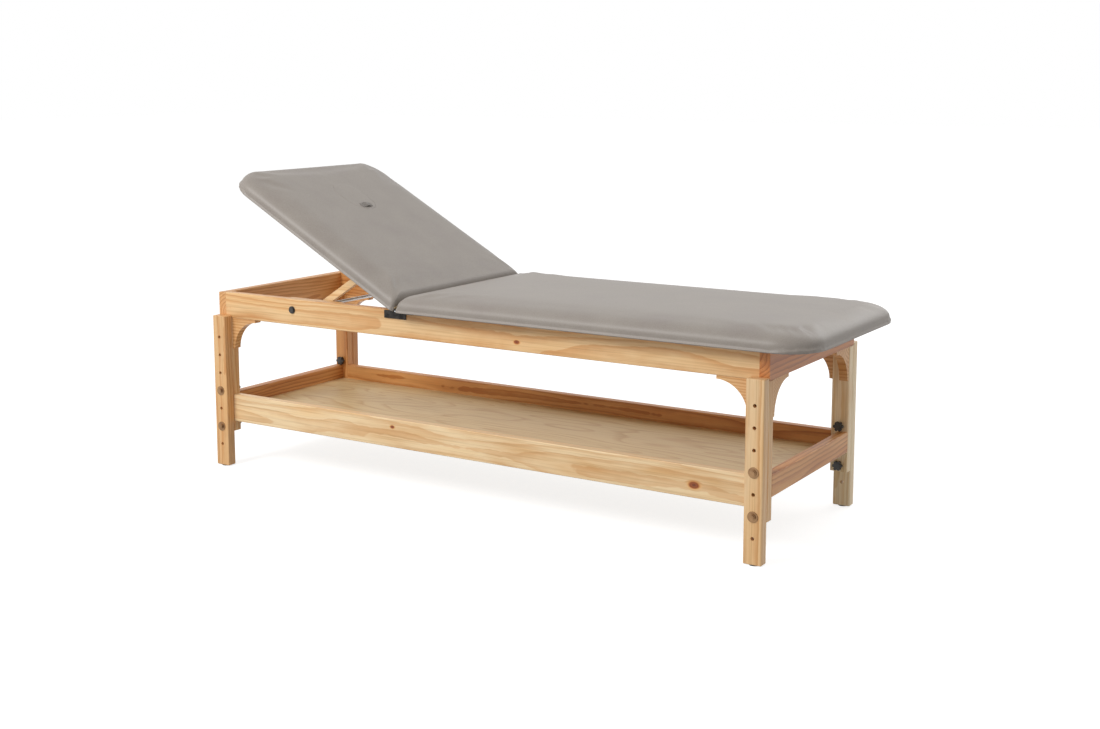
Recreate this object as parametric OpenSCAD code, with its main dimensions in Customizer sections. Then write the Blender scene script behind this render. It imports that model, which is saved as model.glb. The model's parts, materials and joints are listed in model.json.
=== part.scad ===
// Wooden examination table with an adjustable backrest, height-adjustable legs and a storage shelf.
// Millimetres. +X runs to the foot end, +Y to the rear side, +Z up. The origin is on the floor
// below the middle of the whole length.

/* [Frame] */
// Length of the top frame, over its end rails
frame_len = 1840; // [1530:10:2200]
// Width of the top frame, over its long rails
frame_w = 574; // [480:2:700]
// Height of the rails' top edge, legs at their lowest setting
rail_top = 542; // [480:1:650]
// Thickness of the rail and post boards
rail_t = 28; // [22:1:36]
// Height of the top rails
rail_h = 78; // [60:1:110]
// Rounding of the board edges
edge_r = 3; // [1:0.5:5]
// Height of the cross rails below the bed
cross_h = 60; // [40:1:75]
// Length of each leg of the corner brackets
bracket_len = 95; // [60:1:130]
// Thickness left at a bracket's two tips
bracket_tip = 9; // [5:1:15]
// Thickness of the corner brackets
bracket_t = 24; // [15:1:28]

/* [Legs] */
// Width of the posts and of the leg extensions, along the table
post_w = 50; // [40:1:70]
// Height of the posts' lower ends above the floor, at the lowest setting
post_foot = 108; // [90:1:125]
// Thickness of the leg extensions
leg_t = 30; // [22:1:36]
// Gap between the tops of the leg extensions and the bed, legs at their lowest setting
leg_under = 70; // [30:1:90]
// Height of the first index hole above the floor
hole_first = 70; // [50:1:84]
// Spacing of the index holes
hole_pitch = 56; // [46:1:68]
// Diameter of the index holes
hole_d = 10; // [8:0.5:14]
// Diameter of the clamp bolts
bolt_d = 6; // [5:0.5:8]
// Diameter of the bolt washers
washer_d = 28; // [20:1:32]
// Diameter of the clamp knobs, over their lobes
knob_d = 28; // [22:1:34]
// Thickness of the clamp knobs
knob_t = 14; // [10:1:20]
// Height of the glides under the legs
glide_h = 3; // [2:0.5:6]

/* [Shelf] */
// Gap between the upper clamp knobs and the shelf rails' top edges
knob_over = 1; // [1:1:6]
// Height of the long shelf rails
shelf_rail_h = 84; // [70:1:84]
// Height of the shelf rails at the two ends
shelf_end_h = 58; // [56:1:80]
// Depth of the tray, from the rails' top edges to the board
shelf_lip = 45; // [30:1:46]
// Thickness of the shelf board
shelf_t = 8; // [6:1:9]
// Depth of the grooves that hold the shelf board
groove = 6; // [4:1:10]

/* [Pads] */
// Overhang of both pads beyond the long rails, on each side
side_over = 43; // [35:1:60]
// Thickness of the plywood boards
board_t = 12; // [10:1:15]
// Thickness of the upholstery above the boards
foam_t = 46; // [30:1:60]
// Upholstery beyond the edges of the boards
wrap = 10; // [6:1:14]
// Overhang of the bed beyond the foot of the frame
foot_over = 120; // [60:5:200]
// Corner radius of the bed at its foot end
foot_r = 110; // [60:5:160]
// Corner radius of the backrest at its head end
head_r = 85; // [50:5:140]

/* [Backrest] */
// Distance of the backrest's head end from the end of the frame, when flat
back_short = 4; // [0:1:20]
// Angle of the backrest above the flat, as stored
back_angle = 29; // [5:1:44]
// Highest angle of the backrest above the flat
back_max = 45; // [44:1:45]
// Distance of the hinge line from the middle of the frame, towards the head
hinge_back = 210; // [180:2:260]
// Half of the gap between the two boards at the hinge line
hinge_half = 5.5; // [5.2:0.1:8]
// Lean of the backrest's upholstered end at the hinge line
back_bevel = 34; // [34:0.5:40]
// Lean of the bed's upholstered end at the hinge line
bed_bevel = 9.5; // [9.5:0.5:14]
// Length of the face opening in the backrest
face_len = 150; // [120:2:170]
// Width of the face opening in the backrest
face_w = 110; // [90:2:140]
// Distance of the face opening's middle from the head end
face_inset = 216; // [190:1:240]

/* [Prop] */
// Distance between the two rods of the prop, and from the hinge line to its upper rod
prop_len = 200; // [180:2:240]
// Fall of the prop's guide line below the flat, in degrees
prop_fall = 4; // [3.5:0.1:4.5]
// Diameter of the prop's rods
rod_d = 10; // [8:0.5:12]
// Depth of the prop's arms
arm_h = 20; // [16:1:20]
// Thickness of the prop's arms
arm_t = 18; // [14:1:20]
// Thickness of the notched runners
runner_t = 20; // [16:1:24]
// Depth of the notches in the runners
notch = 4; // [2:0.5:5]
// Number of notches in each runner
notch_count = 6; // [4:1:8]

/* [Fits] */
// Gap between sliding or swinging faces
gap = 0.3; // [0.2:0.1:0.5]
// Radial clearance of the pins that turn
pin_fit = 0.1; // [0.05:0.01:0.1]

/* [Hidden] */
$fn = 48;
CORNERS = ["head_front", "head_rear", "foot_front", "foot_rear"];
CORNER_X = [-1, -1, 1, 1];
CORNER_Y = [-1, 1, -1, 1];
SIDES = ["front", "rear"];
SIDE_Y = [-1, 1];

// Colours
pine = "#e3bd87";
ply = "#dcbb85";
vinyl = "#a8a098";
black = "#24221f";
steel = "#8e9092";

// Frame
frame_x = -foot_over / 2;
half_len = frame_len / 2;
half_w = frame_w / 2;
inner_len = half_len - rail_t;
inner_w = half_w - rail_t;
rail_bottom = rail_top - rail_h;
post_in = half_len - post_w;
post_mid = half_len - post_w / 2;
bracket_inset = (rail_t - bracket_t) / 2;
hinge_cross = 45;
middle_cross = 290;
foot_cross = 120;
cross_at = [hinge_cross - hinge_back, middle_cross, post_in - foot_cross];
cut = 1;

// Legs
leg_in = half_w + gap;
leg_out = leg_in + leg_t;
leg_len = rail_top - leg_under - glide_h;
leg_end = 40;
bolt_low = hole_first + hole_pitch;
bolt_high = bolt_low + 2 * hole_pitch;
hole_count = 1 + floor((glide_h + leg_len - leg_end - hole_first) / hole_pitch);
hole_last = hole_first + (hole_count - 1) * hole_pitch;
slot_fit = 0.4;
slot_w = bolt_d + slot_fit;
glide_rim = 2;
glide_stem_d = 8;
glide_stem_h = 12;
washer_t = 1.6;
head_d = 17;
head_h = 4.5;
dome_step = 5;
knob_lobe_d = 9;
knob_core_d = knob_d - knob_lobe_d;
knob_hub_d = knob_core_d - 3;
knob_lobes = 6;
knob_collar_h = 3;
knob_end_t = 2;
knob_crown = 1;
bolt_end_gap = 0.5;
bolt_from = inner_w - gap - knob_t + knob_end_t + bolt_end_gap;

// Shelf
shelf_top = bolt_high - knob_d / 2 - knob_over;
shelf_lower = shelf_top - shelf_lip - shelf_t;
shelf_fit = 0.5;

// Pads
pad_w = frame_w + 2 * side_over;
back_len = half_len - hinge_back - back_short;
face_from = back_len - face_inset;
hinge_x = frame_x - hinge_back;
leaf_t = 3;
hinge_z = rail_top + leaf_t;
bed_from = hinge_x + hinge_half;
bed_to = half_len + foot_over + frame_x;
bed_len = bed_to - bed_from;
back_under = gap - leaf_t;
plug_rim = 15;
plug_fit = 2;
plug_drop = 2;
tab_from = 41;
tab_len = 46;
tab_w = 22;
tab_t = 2;

// Hinges
barrel_d = 10;
hinge_pin_d = 4;
leaf_len = 58;
leaf_off = 4;
leaf_edge = 2;
leaf_root = 0.5;
leaf_lap = 2;
leaf_y = half_w + leaf_off;
leaf_w = pad_w / 2 - wrap - leaf_y - leaf_edge;
knuckle = leaf_w / 3;
bracket_plate_h = 24;
bracket_plate_len = 77;
bracket_plate_back = 61;
bracket_plate_t = 3;

// Prop
slot_clear = 0.3;
slot_d = rod_d + 2 * slot_clear;
slot_end = 1;
batten_t = 24;
batten_h = 34;
arm_side = 8;
arm_in = 3;
arm_y = inner_w - runner_t - arm_side - arm_t;
arm_end = 1;
batten_out = arm_y - arm_in;
batten_from = 18;
batten_short = 22;
batten_to = 2 * prop_len - batten_short;
head_batten_w = 30;
head_batten_h = 24;
head_batten_gap = 26;
head_batten_to = inner_len - hinge_back - head_batten_gap;
rod_end_gap = 4;
rod_foot_reach = inner_w - rod_end_gap;
runner_h = 54;
runner_drop = 2;
runner_up = rail_top - runner_drop;
runner_past = 52;
runner_before = 34;
runner_head = 2 * prop_len + runner_past;
runner_foot = 2 * prop_len * cos(back_max) - runner_before;
runner_bolt_past = 12;
runner_bolt_along = 2 * prop_len + runner_bolt_past;
runner_bolt_drop = 32;
nut_d = 13;
nut_h = 5;
cap_d = 22;
cap_h = 6;

// Point on the prop's guide line, at a distance from the hinge line
function guide(d) = [hinge_x - d * cos(prop_fall), hinge_z - d * sin(prop_fall)];
// Distance of the foot rod from the hinge line, at a backrest angle
function foot_at(a) = 2 * prop_len * cos(a);
// Centre of the upper rod, at a backrest angle
function upper_at(a) = [
    hinge_x - prop_len * cos(a - prop_fall),
    hinge_z + prop_len * sin(a - prop_fall)];

// Rectangle with rounded corners
module round_rect(a, b, r) {
    translate([r, 0]) square([a - 2 * r, b]);
    translate([0, r]) square([a, b - 2 * r]);
    for (x = [r, a - r], y = [r, b - r])
        translate([x, y]) circle(r = r);
}

// Boards with rounded long edges, along each axis
module board_x(len, y, z) {
    rotate([90, 0, 90]) linear_extrude(len) round_rect(y, z, edge_r);
}
module board_y(len, x, z) {
    translate([0, len, 0]) rotate([90, 0, 0]) linear_extrude(len) round_rect(x, z, edge_r);
}
module board_z(len, x, y) {
    linear_extrude(len) round_rect(x, y, edge_r);
}

// Cylinder along +Y
module rod_y(d, len) {
    rotate([-90, 0, 0]) cylinder(d = d, h = len);
}

// Slot outline between two points
module slot_2d(p, q, d) {
    run = norm(q - p);
    turn = atan2(q[1] - p[1], q[0] - p[0]);
    translate(p) circle(d = d);
    translate(q) circle(d = d);
    translate(p) rotate(turn) translate([0, -d / 2]) square([run, d]);
}

// Shape drawn in X and Z, with thickness t from y
module upright(y, t) {
    translate([0, y + t, 0]) rotate([90, 0, 0]) linear_extrude(t) children();
}

// Placing at a corner of the frame, drawn at the foot and rear
module corner(sx, sy) {
    translate([frame_x, 0, 0])
        mirror([sx < 0 ? 1 : 0, 0, 0])
            mirror([0, sy < 0 ? 1 : 0, 0])
                children();
}
module side(sy) {
    mirror([0, sy < 0 ? 1 : 0, 0]) children();
}

// Placing on the backrest, drawn flat with its hinge line at the origin
module on_back() {
    translate([hinge_x, 0, hinge_z]) rotate([0, back_angle, 0]) children();
}

// Leg extension with index holes joined by a narrow slot
module leg(sx, sy) {
    color(pine) corner(sx, sy) difference() {
        translate([post_in, leg_in, glide_h]) board_z(leg_len, post_w, leg_t);
        upright(leg_in - cut, leg_t + 2 * cut)
            slot_2d([post_mid, bolt_low], [post_mid, hole_last], slot_w);
        for (i = [0 : hole_count - 1])
            translate([post_mid, leg_in - cut, hole_first + i * hole_pitch])
                rod_y(hole_d, leg_t + 2 * cut);
        translate([post_mid, leg_in + leg_t / 2, glide_h])
            cylinder(d = glide_stem_d, h = glide_stem_h);
    }
}

// Glide pressed into the foot of a leg
module glide(sx, sy) {
    color(black) corner(sx, sy) translate([post_mid, leg_in + leg_t / 2, 0]) {
        cylinder(d = leg_t - 2 * glide_rim, h = glide_h);
        cylinder(d = glide_stem_d, h = glide_h + glide_stem_h);
    }
}

// Long rail between the end rails, bored for its runner bolt
module long_rail(sy) {
    color(pine) side(sy) difference() {
        translate([frame_x - inner_len, inner_w, rail_bottom]) board_x(2 * inner_len, rail_t, rail_h);
        translate([hinge_x - runner_bolt_along, inner_w - cut, rail_top - runner_bolt_drop])
            rod_y(bolt_d, rail_t + 2 * cut);
    }
}

// End rail across the ends of the long rails
module end_rail(sx) {
    color(pine) corner(sx, 1)
        translate([inner_len, -half_w, rail_bottom]) board_y(frame_w, rail_t, rail_h);
}

// Post below the rails, bored for two clamp bolts
module post(sx, sy) {
    color(pine) corner(sx, sy) difference() {
        translate([post_in, inner_w, post_foot]) board_z(rail_bottom - post_foot, post_w, rail_t);
        for (z = [bolt_low, bolt_high])
            translate([post_mid, inner_w - cut, z]) rod_y(bolt_d, rail_t + 2 * cut);
    }
}

// Corner bracket outline, hollowed by a quarter circle
module bracket_2d() {
    difference() {
        square([bracket_len, bracket_len]);
        translate([bracket_len, bracket_len]) circle(r = bracket_len - bracket_tip, $fn = 96);
    }
}

// Pair of brackets that stiffen one corner
module bracket(sx, sy) {
    color(pine) corner(sx, sy) {
        translate([post_in, inner_w + bracket_inset, rail_bottom]) mirror([1, 0, 0]) mirror([0, 0, 1])
            upright(0, bracket_t) bracket_2d();
        translate([inner_len + bracket_inset, inner_w, rail_bottom]) mirror([0, 0, 1]) rotate([0, 0, -90])
            upright(0, bracket_t) bracket_2d();
    }
}

// Cross rail between the long rails
module cross_rail(i) {
    color(pine) translate([frame_x + cross_at[i] - rail_t / 2, -inner_w, rail_top - cross_h])
        board_y(2 * inner_w, rail_t, cross_h);
}

// Long shelf rail between the posts, grooved for the board
module shelf_long(sy) {
    color(pine) side(sy) difference() {
        translate([frame_x - post_in, inner_w, shelf_top - shelf_rail_h])
            board_x(2 * post_in, rail_t, shelf_rail_h);
        translate([frame_x - post_in - cut, inner_w - cut, shelf_lower])
            cube([2 * (post_in + cut), groove + cut, shelf_t]);
    }
}

// Shelf rail at an end, between the posts
module shelf_end(sx) {
    color(pine) corner(sx, 1) difference() {
        translate([inner_len, -inner_w, shelf_top - shelf_end_h])
            board_y(2 * inner_w, rail_t, shelf_end_h);
        translate([inner_len - cut, -inner_w - cut, shelf_lower])
            cube([groove + cut, 2 * (inner_w + cut), shelf_t]);
    }
}

// Shelf board, let into the rails and cut round the posts
module shelf_board() {
    in = groove - shelf_fit;
    color(ply) translate([frame_x, 0, shelf_lower]) {
        translate([-inner_len - in, -inner_w, 0]) cube([2 * (inner_len + in), 2 * inner_w, shelf_t]);
        translate([-post_in, -inner_w - in, 0]) cube([2 * post_in, 2 * (inner_w + in), shelf_t]);
    }
}

// Outline of a pad from the hinge line, rounded at its far end
module pad_2d(len, w, r) {
    translate([0, -w / 2]) square([len - r, w]);
    translate([0, -w / 2 + r]) square([len, w - 2 * r]);
    for (s = [-1, 1]) translate([len - r, s * (w / 2 - r)]) circle(r = r, $fn = 96);
}

// Wedge that leans a pad's end away from the hinge line
module end_wedge(lean) {
    rise = foam_t + cut;
    upright(-pad_w / 2 - cut, pad_w + 2 * cut)
        polygon([[-rise, 0], [0, 0], [rise * tan(lean), rise], [-rise, rise]]);
}

// Bed board with rounded foot corners
module bed_board() {
    color(ply) translate([bed_from, 0, rail_top])
        linear_extrude(board_t) pad_2d(bed_len - wrap, pad_w - 2 * wrap, foot_r - wrap);
}

// Bed upholstery, over the board and round its edges
module bed_cushion() {
    color(vinyl) translate([bed_from, 0, rail_top]) difference() {
        linear_extrude(board_t + foam_t) pad_2d(bed_len, pad_w, foot_r);
        translate([0, 0, -cut]) linear_extrude(board_t + cut)
            pad_2d(bed_len - wrap, pad_w - 2 * wrap, foot_r - wrap);
        translate([-cut, wrap - pad_w / 2, -cut]) cube([2 * cut, pad_w - 2 * wrap, board_t + cut]);
        translate([0, 0, board_t]) end_wedge(bed_bevel);
    }
}

// Runner on the inner face of a long rail, with a notched slot for the foot rod
module runner(sy) {
    far = guide(foot_at(0) + slot_end);
    near = guide(foot_at(back_max) - slot_end);
    color(pine) side(sy) difference() {
        translate([hinge_x - runner_head, inner_w - runner_t, runner_up - runner_h])
            board_x(runner_head - runner_foot, runner_t, runner_h);
        upright(inner_w - runner_t - cut, runner_t + 2 * cut) {
            slot_2d(far, near, slot_d);
            for (i = [0 : notch_count - 1])
                translate(guide(foot_at(i * back_max / (notch_count - 1))) - [0, notch])
                    circle(d = slot_d);
        }
        translate([hinge_x - runner_bolt_along, inner_w - runner_t - cut, rail_top - runner_bolt_drop])
            rod_y(bolt_d, runner_t + 2 * cut);
    }
}

// Bolts that hold the runners, with round black caps outside
module runner_bolts() {
    color(black) for (sy = SIDE_Y) side(sy)
        translate([hinge_x - runner_bolt_along, 0, rail_top - runner_bolt_drop]) {
            translate([0, inner_w - runner_t, 0]) rod_y(bolt_d, rail_t + runner_t);
            translate([0, half_w, 0]) rod_y(cap_d, cap_h / 2);
            translate([0, half_w, 0]) rod_y(cap_d - dome_step, cap_h);
            translate([0, inner_w - runner_t - nut_h, 0]) rod_y(nut_d, nut_h);
        }
}

// Clamp bolts with washers, two through each post and extension
module clamp_bolts() {
    color(steel) for (i = [0 : 3], z = [bolt_low, bolt_high])
        corner(CORNER_X[i], CORNER_Y[i]) translate([post_mid, 0, z]) {
            translate([0, bolt_from, 0]) rod_y(bolt_d, leg_out + gap - bolt_from);
            translate([0, leg_out + gap, 0]) rod_y(washer_d, washer_t);
            translate([0, leg_out + gap, 0]) rod_y(head_d, washer_t + head_h / 2);
            translate([0, leg_out + gap, 0]) rod_y(head_d - dome_step, washer_t + head_h);
        }
}

// Lobed clamp knob on the inner end of a bolt
module knob(sx, sy, z) {
    color(black) corner(sx, sy) translate([post_mid, inner_w - gap, z]) rotate([90, 0, 0])
        difference() {
            union() {
                cylinder(d = knob_hub_d, h = knob_t);
                translate([0, 0, knob_collar_h]) linear_extrude(knob_t - knob_collar_h - knob_crown) {
                    circle(d = knob_core_d);
                    for (i = [0 : knob_lobes - 1])
                        rotate(i * 360 / knob_lobes)
                            translate([(knob_d - knob_lobe_d) / 2, 0]) circle(d = knob_lobe_d);
                }
            }
            translate([0, 0, -cut]) cylinder(d = bolt_d + 2 * pin_fit, h = knob_t - knob_end_t + cut);
        }
}

// Hinge knuckles from a list of thirds of the barrel's length
module knuckles(list) {
    for (i = list)
        translate([0, leaf_y + i * knuckle + (i == 0 ? 0 : gap / 2), 0])
            rod_y(barrel_d, knuckle - gap / 2 - (i == 1 ? gap / 2 : 0));
}

// Hinge bracket under the bed board, turned down over the rail
module hinge_bracket(sy) {
    color(black) side(sy) translate([hinge_x, 0, hinge_z]) difference() {
        union() {
            knuckles([0, 2]);
            for (i = [0, 2])
                translate([0, leaf_y + i * knuckle + (i == 0 ? 0 : gap / 2), -barrel_d / 2])
                    cube([hinge_half + leaf_lap, knuckle - gap / 2, barrel_d / 2 - leaf_t]);
            translate([hinge_half + leaf_root, leaf_y, -2 * leaf_t]) cube([leaf_len, leaf_w, leaf_t]);
            translate([hinge_half + leaf_root, half_w, -2 * leaf_t]) cube([leaf_len, leaf_off, leaf_t]);
            translate([-bracket_plate_back, half_w, -leaf_t - bracket_plate_h])
                cube([bracket_plate_len, bracket_plate_t, bracket_plate_h - leaf_t / 2]);
        }
        translate([0, leaf_y - cut, 0]) rod_y(hinge_pin_d, leaf_w + 2 * cut);
    }
}

// Hinge leaf under the backrest board
module hinge_leaf(sy) {
    color(black) side(sy) on_back() difference() {
        union() {
            knuckles([1]);
            translate([-hinge_half - leaf_lap, leaf_y + knuckle + gap / 2, -barrel_d / 2])
                cube([hinge_half + leaf_lap, knuckle - gap, barrel_d / 2 + back_under]);
            translate([-hinge_half - leaf_root - leaf_len, leaf_y, back_under - leaf_t])
                cube([leaf_len, leaf_w, leaf_t]);
        }
        translate([0, leaf_y - cut, 0]) rod_y(hinge_pin_d + 2 * pin_fit, leaf_w + 2 * cut);
    }
}

// Hinge pins
module hinge_pins() {
    color(steel) for (sy = SIDE_Y) side(sy)
        translate([hinge_x, leaf_y, hinge_z]) rod_y(hinge_pin_d, leaf_w);
}

// Oval with straight sides along the backrest
module oval_2d(len, w) {
    translate([-len / 2 + w / 2, -w / 2]) square([len - w, w]);
    for (s = [-1, 1]) translate([s * (len - w) / 2, 0]) circle(d = w, $fn = 96);
}

// Backrest board with the face opening
module back_board() {
    color(ply) on_back() difference() {
        translate([-hinge_half, 0, back_under]) mirror([1, 0, 0]) linear_extrude(board_t)
            pad_2d(back_len - hinge_half - wrap, pad_w - 2 * wrap, head_r - wrap);
        translate([-face_from, 0, back_under - cut]) linear_extrude(board_t + 2 * cut)
            oval_2d(face_len - 2 * plug_rim, face_w - 2 * plug_rim);
    }
}

// Backrest upholstery, over the board and round its edges
module back_cushion() {
    color(vinyl) on_back() difference() {
        translate([-hinge_half, 0, back_under]) mirror([1, 0, 0]) difference() {
            linear_extrude(board_t + foam_t) pad_2d(back_len - hinge_half, pad_w, head_r);
            translate([0, 0, -cut]) linear_extrude(board_t + cut)
                pad_2d(back_len - hinge_half - wrap, pad_w - 2 * wrap, head_r - wrap);
            translate([-cut, wrap - pad_w / 2, -cut]) cube([2 * cut, pad_w - 2 * wrap, board_t + cut]);
            translate([0, 0, board_t]) end_wedge(back_bevel);
        }
        translate([-face_from, 0, back_under]) linear_extrude(board_t + foam_t + cut)
            oval_2d(face_len, face_w);
    }
}

// Batten below the backrest board, bored for the prop's upper rod
module back_batten(sy) {
    color(pine) side(sy) on_back() difference() {
        translate([-batten_to, batten_out - batten_t, back_under - batten_h])
            board_x(batten_to - batten_from, batten_t, batten_h);
        translate([-prop_len * cos(prop_fall), batten_out - batten_t - cut, -prop_len * sin(prop_fall)])
            rod_y(rod_d + 2 * pin_fit, batten_t + 2 * cut);
    }
}

// Batten across the head end of the backrest board
module back_batten_head() {
    reach = batten_out + arm_t;
    color(pine) on_back() translate([-head_batten_to, -reach, back_under - head_batten_h])
        board_y(2 * reach, head_batten_w, head_batten_h);
}

// Prop arm outline between its two rod centres, with round ends a little deeper than the arm
module arm_2d(p, q) {
    turn = atan2(q[1] - p[1], q[0] - p[0]);
    for (c = [p, q]) translate(c) circle(d = arm_h + arm_end);
    translate(p) rotate(turn) translate([0, -arm_h / 2]) square([norm(q - p), arm_h]);
}

// Prop arm between the two rods
module prop_arm(sy) {
    p = upper_at(back_angle);
    q = guide(foot_at(back_angle));
    color(pine) side(sy) difference() {
        upright(arm_y, arm_t) arm_2d(q, p);
        for (c = [p, q]) translate([c[0], arm_y - cut, c[1]]) rod_y(rod_d, arm_t + 2 * cut);
    }
}

// Upper rod of the prop, turning in the battens
module prop_rod_upper() {
    p = upper_at(back_angle);
    reach = arm_y + arm_t;
    color(steel) translate([p[0], -reach, p[1]]) rod_y(rod_d, 2 * reach);
}

// Foot rod of the prop, sliding in the runners
module prop_rod_foot() {
    q = guide(foot_at(back_angle));
    color(steel) translate([q[0], -rod_foot_reach, q[1]]) rod_y(rod_d, 2 * rod_foot_reach);
}

// Plywood disc that centres the face plug in the board
module face_plug_board() {
    color(ply) on_back() translate([-face_from, 0, back_under + plug_drop])
        linear_extrude(board_t - plug_drop)
            oval_2d(face_len - 2 * (plug_rim + plug_fit), face_w - 2 * (plug_rim + plug_fit));
}

// Upholstered face plug, seated on the board
module face_plug_cushion() {
    color(vinyl) on_back() translate([-face_from, 0, back_under + board_t + gap])
        linear_extrude(foam_t - gap) oval_2d(face_len - 2 * plug_fit, face_w - 2 * plug_fit);
}

// Pull tab sewn to the face plug
module face_plug_tab() {
    color(vinyl) on_back()
        translate([tab_from - face_from, -tab_len / 2, back_under + board_t + foam_t])
            cube([tab_w, tab_len, tab_t]);
}

for (i = [0 : 3]) {
    leg(CORNER_X[i], CORNER_Y[i]);
    glide(CORNER_X[i], CORNER_Y[i]);
    post(CORNER_X[i], CORNER_Y[i]);
    bracket(CORNER_X[i], CORNER_Y[i]);
    knob(CORNER_X[i], CORNER_Y[i], bolt_high);
    knob(CORNER_X[i], CORNER_Y[i], bolt_low);
}
for (i = [0 : 1]) {
    long_rail(SIDE_Y[i]);
    shelf_long(SIDE_Y[i]);
    runner(SIDE_Y[i]);
    hinge_bracket(SIDE_Y[i]);
    hinge_leaf(SIDE_Y[i]);
    back_batten(SIDE_Y[i]);
    prop_arm(SIDE_Y[i]);
}
end_rail(-1);  // end_rail_head
end_rail(1);  // end_rail_foot
shelf_end(-1);  // shelf_rail_head
shelf_end(1);  // shelf_rail_foot
cross_rail(0);  // cross_rail_hinge
cross_rail(1);  // cross_rail_middle
cross_rail(2);  // cross_rail_foot
shelf_board();
bed_board();
bed_cushion();
runner_bolts();
clamp_bolts();
hinge_pins();
back_board();
back_cushion();
back_batten_head();
prop_rod_upper();
prop_rod_foot();
face_plug_board();
face_plug_cushion();
face_plug_tab();
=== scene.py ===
import json
import math

import bpy
import numpy as np
from mathutils import Matrix, Vector


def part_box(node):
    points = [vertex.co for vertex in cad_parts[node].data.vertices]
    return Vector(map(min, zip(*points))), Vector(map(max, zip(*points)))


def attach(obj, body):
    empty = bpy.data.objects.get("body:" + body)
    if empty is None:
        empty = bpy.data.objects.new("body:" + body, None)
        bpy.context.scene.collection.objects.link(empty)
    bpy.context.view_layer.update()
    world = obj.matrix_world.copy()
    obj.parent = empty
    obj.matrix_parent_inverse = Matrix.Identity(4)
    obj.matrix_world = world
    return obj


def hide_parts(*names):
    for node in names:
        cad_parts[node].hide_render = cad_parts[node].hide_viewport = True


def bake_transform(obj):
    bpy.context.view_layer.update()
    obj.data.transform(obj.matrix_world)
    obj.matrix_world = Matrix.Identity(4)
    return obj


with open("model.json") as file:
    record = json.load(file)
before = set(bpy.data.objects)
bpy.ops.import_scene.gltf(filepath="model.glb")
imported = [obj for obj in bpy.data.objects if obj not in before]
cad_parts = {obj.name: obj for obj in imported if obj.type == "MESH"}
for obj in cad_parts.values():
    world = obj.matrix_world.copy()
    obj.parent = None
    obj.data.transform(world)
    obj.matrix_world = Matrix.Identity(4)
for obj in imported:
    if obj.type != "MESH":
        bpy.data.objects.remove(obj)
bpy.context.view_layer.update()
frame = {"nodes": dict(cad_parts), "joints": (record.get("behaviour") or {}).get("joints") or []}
nodes = frame["nodes"]


# Top frame: long rails between end rails, and cross rails under the bed, of planed pine boards with
# eased edges, glued and screwed. Every board comes from a log of its own, so each has its own
# heart. The boards that stand in shade, the rear rail, two cross rails and the end rails, are given
# darker, redder pine than the rest: painted shade.
def linear(code):
    """An sRGB hex colour as linear RGBA: each channel is taken back through the sRGB curve."""
    rgb = np.array([int(code[i : i + 2], 16) for i in (1, 3, 5)]) / 255
    rgb = np.where(rgb <= 0.04045, rgb / 12.92, ((rgb + 0.055) / 1.055) ** 2.4)
    return (*rgb.tolist(), 1.0)


def add(tree, kind, inputs=(), out=0, stops=(), **settings):
    """Adds a node with its settings, sets or links its inputs, puts (position, sRGB hex) stops in
    a colour ramp, and gives back one output socket."""
    made = tree.nodes.new(kind)
    for key, value in settings.items():
        setattr(made, key, value)
    for key, value in dict(inputs).items():
        if isinstance(value, bpy.types.NodeSocket):
            tree.links.new(value, made.inputs[key])
        else:
            made.inputs[key].default_value = value
    for i, (place, code) in enumerate(stops):
        band = made.color_ramp.elements
        stop = band[i] if i < len(band) else band.new(place)
        stop.position, stop.color = place, linear(code)
    return made.outputs[out] if len(made.outputs) else None


def material(name):
    """An empty node material and its tree."""
    made = bpy.data.materials.new(name)
    made.use_nodes = True
    made.node_tree.nodes.clear()
    return made, made.node_tree


def clothe(names, finish):
    """Gives CAD nodes one material in all their slots."""
    for name in names:
        slots = nodes[name].data.materials
        if not slots:
            slots.append(finish)
        for i in range(len(slots)):
            slots[i] = finish


multiply = {"data_type": "RGBA", "blend_type": "MULTIPLY"}


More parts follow.
